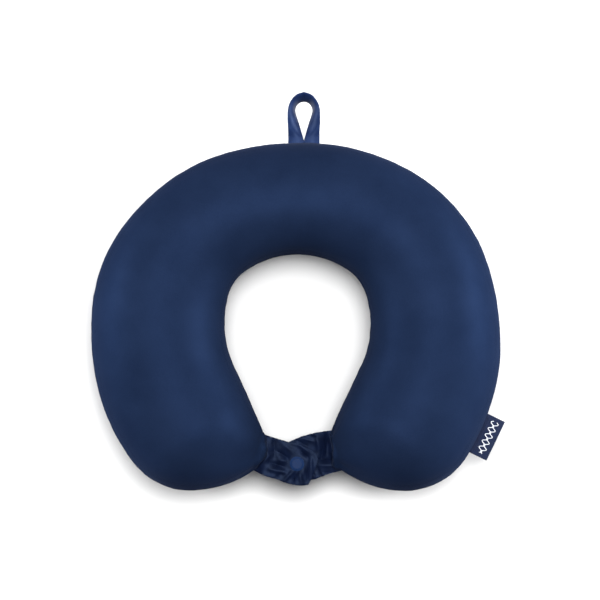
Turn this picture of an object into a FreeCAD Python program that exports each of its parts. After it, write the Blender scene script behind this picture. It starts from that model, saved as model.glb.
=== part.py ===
"""U-shaped neck pillow: foam core, zip-off cover, hanging loop, woven label and two snap tabs.

Frame: the pillow lies on z = 0, its plane of symmetry is x = 0, the nape of the neck is towards +Y
and the two lobes end towards -Y, where the snap tabs close the gap.  Lengths are in millimetres.
"""
import FreeCAD, Part
import math
import os
import re

import Sketcher
from FreeCAD import Placement, Rotation, Vector

DIMENSIONS = {
    # plan of the cover: two chains of tangent arcs, each from the symmetry plane to a lobe's nose
    "outer_start_y": 110.7, "outer_back_radius": 166.2, "outer_back_angle": 34.9,
    "outer_shoulder_radius": 127.2, "outer_shoulder_angle": 39.5,
    "outer_side_radius": 163.0, "outer_side_angle": 48.4,
    "outer_lobe_radius": 55.1, "outer_lobe_angle": 58.9,
    "outer_nose_radius": 80.6, "outer_nose_angle": 34.3,
    "inner_start_y": 27.1, "inner_nape_radius": 64.4, "inner_nape_angle": 37.8,
    "inner_shoulder_radius": 32.3, "inner_shoulder_angle": 35.2,
    "inner_side_radius": 73.2, "inner_side_angle": 42.9,
    "inner_nose_radius": -950.0, "inner_nose_angle": 3.2,
    # section of the cover
    "seam_height": 50.0, "nape_height": 92.0, "lobe_height": 102.0, "land_share": 0.24,
    "nape_reach": 46.0, "lobe_share": 0.5, "fullness": 0.6,
    "nose_half_height": 13.0, "nose_length": 62.0, "nose_run": 73.0,
    "cover_thickness": 1.2, "foam_inset": 2.8,
    # snap tabs, each drawn from the middle of its lobe's end facet
    "facet_x": 28.3, "facet_y": -117.5, "facet_angle": 14.0,
    "tab_gap": 1.2, "tab_root_half_width": 13.5, "tab_end_radius": 15.5,
    "tab_thickness": 1.6, "tab_snap_offset": 2.3,
    "tab_left_z": 52.5, "tab_right_z": 47.2,
    # press snap
    "snap_cap_radius": 5.35, "snap_cap_edge": 0.5, "snap_cap_crown": 1.3, "snap_crown_radius": 3.6,
    "prong_radius": 0.8, "prong_hole_radius": 0.85, "rivet_radius": 1.6, "rivet_thickness": 0.3,
    "snap_disc_radius": 4.8, "socket_height": 2.4, "socket_bore_radius": 2.45, "socket_web": 0.6,
    "stud_base": 1.0, "stud_knob_radius": 2.2, "stud_height": 2.4, "stud_recess_radius": 1.7,
    "stud_floor": 1.4,
    # hanging loop
    "loop_x": 5.0, "loop_root_y": 112.7, "loop_centre_y": 135.2, "loop_radius": 11.3,
    "eye_radius": 6.3, "eye_centre_y": 133.8, "eye_point_y": 115.6, "loop_thickness": 3.0,
    "bartack_length": 21.0, "bartack_depth": 0.4, "bartack_height": 2.4, "bartack_y": 111.0,
    # woven label
    "label_length": 32.0, "label_width": 12.6, "label_thickness": 0.8,
    "label_x": 134.9, "label_y": -105.05, "label_angle": 26.2,
    # zip, swept about the vertical axis of the nape's outer arc
    "zip_height": 11.4, "zip_half_angle": 30.0, "tape_half_angle": 32.0, "slot_half_width": 5.0,
    "tape_width": 7.4, "tape_thickness": 0.6, "tape_top": -2.3, "coil_width": 1.9,
    "coil_thickness": 1.8, "chain_gap": 1.5, "relief_half_width": 12.5, "relief_depth": 5.5,
    "relief_half_angle": 33.5, "slider_length": 9.0, "slider_half_width": 3.7,
    "slider_plate": 1.0, "slider_play": 0.3, "slider_flange": 0.7, "bridge_length": 2.6,
    "bridge_width": 0.9, "slider_park_angle": 25.5, "bail_length": 5.4, "bail_width": 1.6,
    "bail_height": 2.4, "pin_hole_radius": 0.6, "pin_radius": 0.5, "pin_height": 1.2,
    "pull_length": 8.5, "pull_width": 5.2, "pull_thickness": 1.2, "pull_window": 3.4,
    "stop_length": 2.2, "stop_play": 0.05, "stop_wall": 0.5,
}
NAPE_STEPS = 8          # loft sections in the nape's constant arc, on each side
LEVEL = 0.001           # mm of height within which a lofted face counts as level
ROUNDING = 1e-6         # slack that keeps the last station on the last arc
LOBE_STEPS = 20         # loft sections from there to a lobe's nose

doc = FreeCAD.newDocument("neck_pillow")
sheet = doc.addObject("Spreadsheet::Sheet", "Sizes")
aliases = set()
nodes = []


# ---------------------------------------------------------------- sheet and expressions

def fill_sheet(values, first_row):
    """Write each dimension as a plain number, with its name as the cell's alias."""
    for row, (alias, number) in enumerate(values.items(), first_row):
        sheet.set(f"A{row}", alias)
        sheet.set(f"B{row}", str(number))
        sheet.setAlias(f"B{row}", alias)
        aliases.add(alias)
    doc.recompute()


def size(alias):
    return float(getattr(sheet, alias))


def full(expression):
    """The expression with each alias written as Sizes.alias."""
    def named(match):
        word = match[0]
        return f"Sizes.{word}" if word in aliases else word

    return re.sub("[a-z][a-z_]+", named, expression)


def value(expression):
    return float(sheet.evalExpression(full(expression)))


# ---------------------------------------------------------------- plan and sections of the soft body

def arc_chain(edge, start_y, names):
    """Tangent arcs from (0, start_y), heading +X and turning clockwise: centre, radius, heading, sweep."""
    arcs = []
    point = Vector(0, start_y, 0)
    heading = 0.0
    for name in names:
        radius = size(f"{edge}_{name}_radius")
        sweep = math.radians(size(f"{edge}_{name}_angle")) * math.copysign(1, radius)
        centre = point + Vector(math.sin(heading), -math.cos(heading), 0) * radius
        arcs.append((centre, radius, heading, sweep))
        heading -= sweep
        point = centre + Vector(-math.sin(heading), math.cos(heading), 0) * radius
    return arcs


def chain_length(arcs):
    return sum(radius * sweep for _, radius, _, sweep in arcs)


def chain_point(arcs, distance):
    """Point of the chain at a distance along it, at most its length."""
    distance = min(distance, chain_length(arcs) - ROUNDING)
    for centre, radius, heading, sweep in arcs:
        if distance <= radius * sweep:
            break
        distance -= radius * sweep
    turned = heading - distance / radius
    return centre + Vector(-math.sin(turned), math.cos(turned), 0) * radius


def bisect(too_small, low, high):
    for _ in range(50):
        middle = (low + high) / 2
        if too_small(middle):
            low = middle
        else:
            high = middle
    return low


def smooth(x):
    x = min(max(x, 0.0), 1.0)
    return x * x * (3 - 2 * x)


def stations(inset):
    """Plan ends and height ease of each section, from the symmetry plane to the right-hand nose.

    In the nape the sections are rays through the outer arc's centre, which makes the outside a surface
    of revolution there; from there on they share out what is left of both edges evenly.
    """
    outer = arc_chain("outer", size("outer_start_y"), ("back", "shoulder", "side", "lobe", "nose"))
    inner = arc_chain("inner", size("inner_start_y"), ("nape", "shoulder", "side", "nose"))
    centre, radius, _, zone = outer[0]
    found = []

    def inner_on_ray(angle):
        ray = Vector(math.sin(angle), math.cos(angle), 0)
        return bisect(lambda d: (chain_point(inner, d) - centre).cross(ray).z < 0, 0, chain_length(inner) / 2)

    for i in range(NAPE_STEPS):
        angle = zone * i / NAPE_STEPS
        found.append((radius * angle, inner_on_ray(angle), 0.0))
    outer_left = chain_length(outer) - radius * zone
    inner_start = inner_on_ray(zone)
    inner_left = chain_length(inner) - inner_start
    last = 1 - inset / size("nose_run")
    for i in range(LOBE_STEPS + 1):
        share = last * i / LOBE_STEPS
        found.append((radius * zone + outer_left * share, inner_start + inner_left * share, share))
    mean_left = (outer_left + inner_left) / 2
    return [
        (chain_point(outer, a), chain_point(inner, b), share, mean_left * (1 - share))
        for a, b, share in found
    ]


def quarter(start, corner, end):
    """Quarter of an oval from start to end, tangent to the lines through the corner, as one cubic."""
    fullness = size("fullness")
    curve = Part.BezierCurve()
    curve.setPoles([start, start + (corner - start) * fullness, end + (corner - end) * fullness, end])
    return curve


def section_corners(station, inset):
    """Seam points, crest and the two ends of the flat land under one section, moved in by the inset."""
    outside, inside, share, left = station
    width = (inside - outside).Length
    across = (inside - outside).normalize()
    ease = smooth(share * 2)
    nape_width = size("outer_start_y") - size("inner_start_y")
    reach = size("nape_reach") * (1 - ease) + size("lobe_share") * width * ease
    reach = min(reach, width * size("nape_reach") / nape_width)
    seam = Vector(0, 0, size("seam_height"))
    top = size("nape_height") + (size("lobe_height") - size("nape_height")) * ease - seam.z
    nose = size("nose_half_height")
    swell = math.sin(math.pi / 2 * min(left / size("nose_length"), 1.0))
    top = nose + (top - nose) * swell - inset
    bottom = nose + (seam.z - nose) * swell - inset
    land = size("land_share") * width / 2
    return {
        "outer": outside + across * inset + seam,
        "inner": inside - across * inset + seam,
        "crest": outside + across * reach + seam + Vector(0, 0, top),
        "land_out": outside + across * (reach - land) + seam - Vector(0, 0, bottom),
        "land_in": outside + across * (reach + land) + seam - Vector(0, 0, bottom),
    }


def quarter_edge(seam_point, tip):
    return quarter(seam_point, Vector(seam_point.x, seam_point.y, tip.z), tip).toShape()


def upper_edges(station, inset):
    at = section_corners(station, inset)
    return [quarter_edge(at["outer"], at["crest"]), quarter_edge(at["inner"], at["crest"])]


def lower_edges(station, inset):
    at = section_corners(station, inset)
    return [quarter_edge(at["outer"], at["land_out"]), quarter_edge(at["inner"], at["land_in"]),
            Part.makeLine(at["land_out"], at["land_in"])]


def seam_rims(station, inset):
    """A panel's two cut edges at the seam, from its outside to its lining."""
    cover, lining = section_corners(station, 0), section_corners(station, inset)
    return [Part.makeLine(cover[side], lining[side]) for side in ("outer", "inner")]


def mirrored(station):
    outside, inside, share, left = station
    return Vector(-outside.x, outside.y, 0), Vector(-inside.x, inside.y, 0), share, left


def joined_plane(faces):
    """One plane face with the outline of a row of level faces."""
    edges = [edge for face in faces for edge in face.Edges]
    outline = [edge for edge in edges if sum(edge.isSame(other) for other in edges) == 1]
    return Part.Face(Part.Wire(Part.__sortEdges__(outline)))


def ruled_loft(path, edges_at):
    """Solid through the closed sections that edges_at gives for each station, each level of its land one plane."""
    wires = [Part.Wire(Part.__sortEdges__(edges_at(station))) for station in path]
    lands = {}
    faces = []
    for face in Part.makeLoft(wires, True, True).Faces:
        box = face.BoundBox
        if box.ZLength < LEVEL and box.ZMax < size("seam_height") / 2:
            lands.setdefault(round(box.ZMax, 2), []).append(face)
        else:
            faces.append(face)
    shell = Part.makeShell(faces + [joined_plane(row) for row in lands.values()])
    shell.sewShape()
    return Part.makeSolid(shell)


def whole_path(inset):
    """Stations from the left nose round the nape to the right nose, short of the facets by the inset."""
    right = stations(inset)
    return [mirrored(station) for station in reversed(right[1:])] + right


def panel(edges_of):
    """Half of the cover: a shell of the cover's thickness, open along the seam and at the two facets."""
    thickness = size("cover_thickness")
    return ruled_loft(whole_path(0), lambda station: edges_of(station, 0)
                      + edges_of(station, thickness) + seam_rims(station, thickness))


def shape_object(label, shape):
    form = doc.addObject("Part::Feature", label)
    form.Shape = shape
    form.Placement = Placement()
    return form


def zip_seat():
    """Radius about the nape's axis and tilt below level of the cover's outside at the zip's height."""
    at = section_corners(stations(0)[0], 0)
    curve = quarter(at["outer"], Vector(0, at["outer"].y, at["land_out"].z), at["land_out"])
    spot = bisect(lambda u: curve.value(u).z > size("zip_height"), 0, 1)
    slope = curve.tangent(spot)[0]
    centre = arc_chain("outer", size("outer_start_y"), ("back",))[0][0]
    return {
        "zip_axis_y": round(centre.y, 4),
        "zip_radius": round(curve.value(spot).y - centre.y, 4),
        "zip_tilt": round(math.degrees(math.atan2(-slope.y, -slope.z)), 4),
    }


# ---------------------------------------------------------------- sketches and PartDesign features

def new_body(label, placement=Placement()):
    body = doc.addObject("PartDesign::Body", label)
    body.Placement = placement
    return body


def datum(body, role):
    return next(feature for feature in body.Origin.OriginFeatures if feature.Role == role)


def new_sketch(body, role="XY_Plane", height="0"):
    """Sketch on one of the body's own planes, raised along the plane's normal."""
    sketch = body.newObject("Sketcher::SketchObject", body.Label + "_sketch")
    sketch.AttachmentSupport = [(datum(body, role), "")]
    sketch.MapMode = "FlatFace"
    sketch.AttachmentOffset = Placement(Vector(0, 0, value(height)), Rotation())
    sketch.setExpression("AttachmentOffset.Base.z", full(height))
    return sketch


def bind(sketch, constraint, expression):
    index = sketch.addConstraint(constraint)
    sketch.setExpression(f"Constraints[{index}]", full(expression))


def place(sketch, geometry, point, x, y):
    """Hold a point of the geometry at (x, y) from the sketch's origin."""
    bind(sketch, Sketcher.Constraint("DistanceX", -1, 1, geometry, point, value(x)), x)
    bind(sketch, Sketcher.Constraint("DistanceY", -1, 1, geometry, point, value(y)), y)


def polygon(sketch, corners):
    """Closed outline through corners given as pairs of expressions."""
    points = [Vector(value(x), value(y), 0) for x, y in corners]
    first = sketch.GeometryCount
    count = len(points)
    for i in range(count):
        sketch.addGeometry(Part.LineSegment(points[i], points[(i + 1) % count]), False)
    for i in range(count):
        sketch.addConstraint(Sketcher.Constraint("Coincident", first + i, 2, first + (i + 1) % count, 1))
    for i, (x, y) in enumerate(corners):
        place(sketch, first + i, 1, x, y)


def rectangle(sketch, x_from, x_to, y_from, y_to):
    polygon(sketch, [(x_from, y_from), (x_to, y_from), (x_to, y_to), (x_from, y_to)])


def circle(sketch, x, y, radius):
    shape = Part.Circle(Vector(value(x), value(y), 0), Vector(0, 0, 1), value(radius))
    index = sketch.addGeometry(shape, False)
    place(sketch, index, 3, x, y)
    bind(sketch, Sketcher.Constraint("Radius", index, value(radius)), radius)


def rounded_end(sketch, root, centre, radius):
    """Outline of one or two root points joined by tangent lines to a round end.

    The first root point is the one on the left, looking from the root towards the round end.
    """
    middle = Vector(value(centre[0]), value(centre[1]), 0)
    r = value(radius)
    angles = []
    for point, side in ((root[0], -1), (root[-1], 1)):
        spoke = Vector(value(point[0]), value(point[1]), 0) - middle
        angles.append(math.atan2(spoke.y, spoke.x) + side * math.acos(r / spoke.Length))
    ends = [middle + Vector(math.cos(a), math.sin(a), 0) * r for a in angles]
    roots = [Vector(value(x), value(y), 0) for x, y in root]
    first = sketch.GeometryCount
    sketch.addGeometry(Part.LineSegment(roots[0], ends[0]), False)
    finish = angles[0] if angles[0] > angles[1] else angles[0] + 2 * math.pi
    arc = Part.ArcOfCircle(Part.Circle(middle, Vector(0, 0, 1), r), angles[1], finish)
    sketch.addGeometry(arc, False)
    sketch.addGeometry(Part.LineSegment(ends[1], roots[-1]), False)
    sketch.addConstraint(Sketcher.Constraint("Tangent", first, 2, first + 1, 2))
    sketch.addConstraint(Sketcher.Constraint("Tangent", first + 2, 1, first + 1, 1))
    place(sketch, first + 1, 3, *centre)
    bind(sketch, Sketcher.Constraint("Radius", first + 1, r), radius)
    place(sketch, first, 1, *root[0])
    if len(root) == 1:
        sketch.addConstraint(Sketcher.Constraint("Coincident", first + 2, 2, first, 1))
    else:
        sketch.addGeometry(Part.LineSegment(roots[1], roots[0]), False)
        sketch.addConstraint(Sketcher.Constraint("Coincident", first + 2, 2, first + 3, 1))
        sketch.addConstraint(Sketcher.Constraint("Coincident", first + 3, 2, first, 1))
        place(sketch, first + 3, 1, *root[1])


def pad(body, sketch, length, both_ways=False):
    doc.recompute()
    feature = body.newObject("PartDesign::Pad", body.Label + "_pad")
    feature.Profile = sketch
    feature.setExpression("Length", full(length))
    feature.Midplane = both_ways
    doc.recompute()
    return feature


def cut_through(body, sketch):
    """Pocket right through the body, both ways from the sketch."""
    doc.recompute()
    before = body.Shape.Volume
    feature = body.newObject("PartDesign::Pocket", body.Label + "_pocket")
    feature.Profile = sketch
    feature.Type = "ThroughAll"
    feature.Midplane = True
    doc.recompute()
    if body.Shape.Volume >= before:
        raise ValueError(f"{body.Label}: the pocket cuts nothing")


def revolve(body, sketch, angle):
    """Turn the sketch about the body's Z axis, half of the angle each way."""
    doc.recompute()
    feature = body.newObject("PartDesign::Revolution", body.Label + "_revolution")
    feature.Profile = sketch
    feature.ReferenceAxis = (datum(body, "Z_Axis"), [""])
    feature.Midplane = True
    feature.setExpression("Angle", full(angle))
    doc.recompute()
    return feature


def turned(label, profile, placement):
    """Round piece from a half profile of (radius, height) pairs."""
    body = new_body(label, placement)
    sketch = new_sketch(body, "XZ_Plane")
    polygon(sketch, profile)
    revolve(body, sketch, "360")
    return body


def combined(kind, label, base, tool):
    """Part::Cut, Part::Common or Part::Fuse of two objects."""
    feature = doc.addObject(kind, label)
    feature.Base = base
    feature.Tool = tool
    doc.recompute()
    return feature


def node(feature):
    nodes.append(feature)
    return feature


# ---------------------------------------------------------------- foam and cover

def make_cover():
    """Two panels that meet at the seam; the bottom one is slit for the zip."""
    node(shape_object("cover_top_panel", panel(upper_edges)))
    bottom = shape_object("bottom_without_zip", panel(lower_edges))
    slot = zip_strip("zip_slot", ["-slot_half_width", "slot_half_width"], ["-relief_depth", "relief_depth"],
                     "2 * zip_half_angle + 2")
    node(combined("Part::Cut", "cover_bottom_panel", bottom, slot))


def make_foam():
    inset = size("foam_inset")
    blank = shape_object("foam_blank", ruled_loft(
        whole_path(inset), lambda station: upper_edges(station, inset) + lower_edges(station, inset)))
    relief = zip_strip("foam_relief", ["-relief_half_width", "relief_half_width"],
                       ["-relief_depth", "relief_depth"], "2 * relief_half_angle")
    node(combined("Part::Cut", "foam_core", blank, relief))


# ---------------------------------------------------------------- hanging loop and label

def make_loop():
    level = Placement(Vector(0, 0, size("seam_height")), Rotation())
    body = new_body("hang_loop", level)
    sketch = new_sketch(body)
    root = [("loop_x - loop_radius", "loop_root_y"), ("loop_x + loop_radius", "loop_root_y")]
    rounded_end(sketch, root, ("loop_x", "loop_centre_y"), "loop_radius")
    rounded_end(sketch, [("loop_x", "eye_point_y")], ("loop_x", "eye_centre_y"), "eye_radius")
    pad(body, sketch, "loop_thickness", both_ways=True)
    node(body)
    bartack = new_body("loop_bartack", level)
    sketch = new_sketch(bartack)
    rectangle(sketch, "loop_x - bartack_length / 2", "loop_x + bartack_length / 2",
              "bartack_y - bartack_depth / 2", "bartack_y + bartack_depth / 2")
    pad(bartack, sketch, "bartack_height", both_ways=True)
    node(bartack)


def make_label():
    turn = Rotation(Vector(0, 0, 1), -size("label_angle"))
    body = new_body("woven_label", Placement(Vector(size("label_x"), size("label_y"), size("seam_height")), turn))
    sketch = new_sketch(body)
    rectangle(sketch, "0", "label_width", "-label_length / 2", "label_length / 2")
    pad(body, sketch, "label_thickness", both_ways=True)
    node(body)


# ---------------------------------------------------------------- snap tabs and press snap

def derived_sizes():
    """Where the snap lies, so that both tabs put it on the symmetry plane."""
    tilt = math.radians(size("facet_angle"))
    offset = size("tab_snap_offset")
    distance = (size("facet_x") + offset * math.sin(tilt)) / math.cos(tilt)
    return {
        "tab_snap_distance": round(distance, 5),
        "snap_y": round(size("facet_y") - distance * math.sin(tilt) - offset * math.cos(tilt), 5),
    }


def make_tab(label, side, height):
    """Tongue from one lobe's end facet; side is -1 for the left lobe and 1 for the right."""
    angle = -size("facet_angle") if side < 0 else 180 + size("facet_angle")
    spot = Vector(side * size("facet_x"), size("facet_y"), size(height))
    body = new_body(label, Placement(spot, Rotation(Vector(0, 0, 1), angle)))
    sketch = new_sketch(body)
    root = [("tab_gap", "tab_root_half_width"), ("tab_gap", "-tab_root_half_width")]
    snap = ("tab_snap_distance", f"{side} * tab_snap_offset")
    rounded_end(sketch, root, snap, "tab_end_radius")
    circle(sketch, *snap, "prong_hole_radius")
    pad(body, sketch, "tab_thickness")
    node(body)


def make_snap_cap(label, height, web, flip):
    """Cap with a prong that passes through the tab and the web, and is riveted over behind it."""
    turn = Rotation(Vector(1, 0, 0), 180 if flip else 0)
    grip = f"tab_thickness + {web}"
    profile = [
        ("0", "snap_cap_crown"), ("snap_crown_radius", "snap_cap_crown"), ("snap_cap_radius", "snap_cap_edge"),
        ("snap_cap_radius", "0"), ("prong_radius", "0"), ("prong_radius", f"-({grip})"),
        ("rivet_radius", f"-({grip})"), ("rivet_radius", f"-({grip} + rivet_thickness)"),
        ("0", f"-({grip} + rivet_thickness)"),
    ]
    node(turned(label, profile, Placement(Vector(0, size("snap_y"), value(height)), turn)))


def make_snap():
    make_snap_cap("snap_cap_upper", "tab_left_z + tab_thickness", "socket_web", flip=False)
    make_snap_cap("snap_cap_lower", "tab_right_z", "stud_floor", flip=True)
    socket = [
        ("socket_bore_radius", "0"), ("snap_disc_radius", "0"), ("snap_disc_radius", "socket_height"),
        ("prong_hole_radius", "socket_height"), ("prong_hole_radius", "socket_height - socket_web"),
        ("socket_bore_radius", "socket_height - socket_web"),
    ]
    height = value("tab_left_z - socket_height")
    node(turned("snap_socket", socket, Placement(Vector(0, size("snap_y"), height), Rotation())))
    stud = [
        ("prong_hole_radius", "0"), ("snap_disc_radius", "0"), ("snap_disc_radius", "stud_base"),
        ("stud_knob_radius", "stud_base"), ("stud_knob_radius", "stud_height"),
        ("stud_recess_radius", "stud_height"), ("stud_recess_radius", "stud_floor"),
        ("prong_hole_radius", "stud_floor"),
    ]
    height = value("tab_right_z + tab_thickness")
    node(turned("snap_stud", stud, Placement(Vector(0, size("snap_y"), height), Rotation())))


# ---------------------------------------------------------------- zip

def zip_sweep(label, outline, angle, turn=0.0):
    """Sweep an outline of (up the cover, out of the cover) pairs about the nape's axis.

    The outline is drawn at the zip's seat; the sweep is centred on the azimuth turn, in degrees.
    """
    body = new_body(label, Placement(Vector(0, size("zip_axis_y"), 0), Rotation(Vector(0, 0, 1), turn)))
    sketch = new_sketch(body, "YZ_Plane")
    tilt = Rotation(Vector(0, 0, 1), -size("zip_tilt"))
    sketch.AttachmentOffset = Placement(Vector(size("zip_radius"), size("zip_height"), 0), tilt)
    sketch.setExpression("AttachmentOffset.Base.x", full("zip_radius"))
    sketch.setExpression("AttachmentOffset.Base.y", full("zip_height"))
    polygon(sketch, [(out, up) for up, out in outline])
    revolve(body, sketch, angle)
    return body


def zip_strip(label, up, out, angle):
    corners = [(up[0], out[0]), (up[1], out[0]), (up[1], out[1]), (up[0], out[1])]
    return zip_sweep(label, corners, angle)


def zip_placement(turn, height):
    """Frame on the zip's path: x along it, y up the cover and z out of the cover, at a height above it."""
    tilt = math.radians(size("zip_tilt"))
    up = Vector(0, math.sin(tilt), math.cos(tilt))
    out = Vector(0, math.cos(tilt), -math.sin(tilt))
    seat = Vector(0, size("zip_radius"), size("zip_height")) + out * height
    swing = Placement(Vector(0, size("zip_axis_y"), 0), Rotation(Vector(0, 0, 1), turn))
    return swing * Placement(seat, Rotation(Vector(-1, 0, 0), up, out, "XYZ"))


def make_tapes_and_coils():
    tape_under = "tape_top - tape_thickness"
    coil_over = "tape_top + coil_thickness"
    for side, sign in (("upper", ""), ("lower", "-")):
        near = f"{sign}chain_gap / 2"
        tape = [near, f"{sign}(chain_gap / 2 + tape_width)"]
        node(zip_strip(f"zip_tape_{side}", tape, [tape_under, "tape_top"], "2 * tape_half_angle"))
        coil = [near, f"{sign}(chain_gap / 2 + coil_width)"]
        node(zip_strip(f"zip_coil_{side}", coil, ["tape_top", coil_over], "2 * zip_half_angle"))


def make_stops():
    """A hook over each coil at the closed end, and one clamp over both coils at the other."""
    angle = "stop_length / zip_radius * 180 / pi"
    turn = value("zip_half_angle - 1")
    over = "tape_top + coil_thickness + stop_play"
    outside = "chain_gap / 2 + coil_width + stop_play"
    hooks = []
    for side, sign in (("upper", ""), ("lower", "-")):
        hook = [
            (f"{sign}chain_gap / 2", over), (f"{sign}({outside})", over), (f"{sign}({outside})", "tape_top"),
            (f"{sign}({outside} + stop_wall)", "tape_top"),
            (f"{sign}({outside} + stop_wall)", f"{over} + stop_wall"),
            (f"{sign}chain_gap / 2", f"{over} + stop_wall"),
        ]
        hooks.append(zip_sweep(f"top_stop_{side}", hook, angle, -turn))
    stops = doc.addObject("Part::Compound", "zip_top_stops")
    stops.Links = hooks
    node(stops)
    clamp = [
        (f"-({outside} + stop_wall)", "tape_top"), (f"-({outside})", "tape_top"), (f"-({outside})", over),
        (outside, over), (outside, "tape_top"), (f"{outside} + stop_wall", "tape_top"),
        (f"{outside} + stop_wall", f"{over} + stop_wall"), (f"-({outside} + stop_wall)", f"{over} + stop_wall"),
    ]
    node(zip_sweep("zip_bottom_stop", clamp, angle, turn))


def block(body, x_range, y_range, z_from, z_to):
    sketch = new_sketch(body, "XY_Plane", z_from)
    rectangle(sketch, *x_range, *y_range)
    pad(body, sketch, f"{z_to} - ({z_from})")


def make_slider():
    """Two plates joined by a bridge between the coils, with side flanges and a bail for the pull."""
    body = new_body("zip_slider", zip_placement(-size("slider_park_angle"), 0))
    roof = "tape_top + coil_thickness + slider_play"
    ground = "tape_top - tape_thickness - slider_play"
    length = ["-slider_length / 2", "slider_length / 2"]
    width = ["-slider_half_width", "slider_half_width"]
    block(body, length, width, f"{ground} - slider_plate", ground)
    bridge = ["slider_length / 2 - bridge_length", "slider_length / 2"]
    block(body, bridge, ["-bridge_width / 2", "bridge_width / 2"], ground, roof)
    block(body, length, width, roof, f"{roof} + slider_plate")
    for sign in ("", "-"):
        flange = [f"{sign}(slider_half_width - slider_flange)", f"{sign}slider_half_width"]
        block(body, length, flange, "tape_top + 2 * slider_play", roof)
    top = f"{roof} + slider_plate"
    block(body, ["-bail_length / 2", "bail_length / 2"], ["-bail_width / 2", "bail_width / 2"],
          top, f"{top} + bail_height")
    sketch = new_sketch(body, "XZ_Plane")
    circle(sketch, "0", f"{top} + pin_height", "pin_hole_radius")
    cut_through(body, sketch)
    node(body)


def make_pull():
    """Small tab that hangs from a pin through the slider's bail; its frame starts at the pin."""
    pin = value("tape_top + coil_thickness + slider_play + slider_plate + pin_height")
    body = new_body("zip_pull", zip_placement(-size("slider_park_angle"), pin))
    half = "pull_width / 2"
    gap = "pull_window / 2"
    foot = "-pull_thickness / 2"
    sketch = new_sketch(body, "YZ_Plane")
    polygon(sketch, [
        (f"-{half}", foot), (f"-{gap}", foot), (f"-{gap}", "pull_window"), (gap, "pull_window"),
        (gap, foot), (half, foot), (half, "pull_length"), (f"-{half}", "pull_length"),
    ])
    pad(body, sketch, "pull_thickness", both_ways=True)
    sketch = new_sketch(body, "XZ_Plane")
    circle(sketch, "0", "0", "pin_radius")
    pad(body, sketch, "pull_width", both_ways=True)
    node(body)


# ---------------------------------------------------------------- build, test and write

def check_document():
    doc.recompute()
    for item in doc.Objects:
        if "Invalid" in item.State or "Error" in item.State:
            raise ValueError(f"{item.Label} failed: {item.State}")
    for feature in nodes:
        if feature.Shape.isNull() or not feature.Shape.isValid():
            raise ValueError(f"{feature.Label} has no valid shape")


def write_steps():
    os.makedirs("parts", exist_ok=True)
    for feature in nodes:
        feature.Shape.exportStep(f"parts/{feature.Label}.step")
        box = feature.Shape.BoundBox
        print(f"{feature.Label:20s} {len(feature.Shape.Solids)} solid(s) {feature.Shape.Volume:11.1f} mm3 "
              f"x {box.XMin:8.2f} {box.XMax:8.2f}  y {box.YMin:8.2f} {box.YMax:8.2f}  "
              f"z {box.ZMin:7.2f} {box.ZMax:7.2f}")


fill_sheet(DIMENSIONS, 1)
fill_sheet(derived_sizes(), len(DIMENSIONS) + 1)
fill_sheet(zip_seat(), len(DIMENSIONS) + 1 + len(derived_sizes()))
make_cover()
make_foam()
make_loop()
make_label()
make_tab("snap_tab_left", -1, "tab_left_z")
make_tab("snap_tab_right", 1, "tab_right_z")
make_snap()
make_tapes_and_coils()
make_stops()
make_slider()
make_pull()
check_document()
write_steps()
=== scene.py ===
"""Looks of the U-shaped neck pillow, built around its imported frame.  Lengths are in metres."""

import math

import bmesh
import bpy
import numpy as np
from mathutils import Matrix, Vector, noise


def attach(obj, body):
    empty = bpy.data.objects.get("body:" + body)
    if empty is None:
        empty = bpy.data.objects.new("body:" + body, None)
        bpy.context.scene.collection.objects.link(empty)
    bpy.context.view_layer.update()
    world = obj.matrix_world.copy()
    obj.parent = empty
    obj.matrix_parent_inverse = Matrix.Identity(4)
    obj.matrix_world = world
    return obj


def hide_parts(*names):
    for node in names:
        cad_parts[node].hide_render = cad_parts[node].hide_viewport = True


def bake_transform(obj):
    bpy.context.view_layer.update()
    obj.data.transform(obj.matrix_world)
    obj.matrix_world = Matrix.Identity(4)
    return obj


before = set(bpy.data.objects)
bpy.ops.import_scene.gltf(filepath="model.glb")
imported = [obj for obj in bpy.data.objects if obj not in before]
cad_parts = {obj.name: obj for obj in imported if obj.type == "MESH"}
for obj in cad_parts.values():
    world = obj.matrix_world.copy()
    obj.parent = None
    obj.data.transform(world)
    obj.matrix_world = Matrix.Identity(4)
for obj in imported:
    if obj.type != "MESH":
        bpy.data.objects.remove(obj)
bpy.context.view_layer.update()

MM = 0.001
SEAM = 50 * MM                  # height of the seam between the cover's two panels

# The cover's plan: tangent arcs (radius in mm, degrees) from the symmetry plane to the right nose.
OUTER_START = 110.7 * MM
OUTER_ARCS = [(166.2, 34.9), (127.2, 39.5), (163.0, 48.4), (55.1, 58.9), (80.6, 34.3)]
INNER_START = 27.1 * MM
INNER_ARCS = [(64.4, 37.8), (32.3, 35.2), (73.2, 42.9), (-950.0, 3.2)]

# The cover's sections.
NAPE_TOP = 92 * MM
LOBE_TOP = 102 * MM
NAPE_REACH = 46 * MM            # from the outer seam to the nape's crest
LOBE_SHARE = 0.5                # the same in a lobe, as a share of its width
LAND_SHARE = 0.24               # flat underside, as a share of the width
FULLNESS = 0.6                  # 0 for a straight quarter, 1 for a square one
NOSE_HALF_HEIGHT = 13 * MM
NOSE_LENGTH = 62 * MM           # over which a lobe tapers to its nose
NOSE_STEPS = (0.004, 0.018, 0.05, 0.1, 0.18, 0.3, 0.45, 0.62, 0.78, 0.9, 0.97)
NAPE_STEPS = 30
LOBE_STEPS = 84
LAND_STEPS = 6
SEAM_ROWS = [0.0, 0.006, 0.014, 0.026, 0.045, 0.07]
ROWS = SEAM_ROWS + [0.1 + 0.9 * i / 17 for i in range(18)]
INNER_SEAM = 2 * len(ROWS) - 2  # place of the inner seam point in a ring
COVER_THICKNESS = 0.9 * MM
FOAM_INSET = 3.4 * MM
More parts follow.
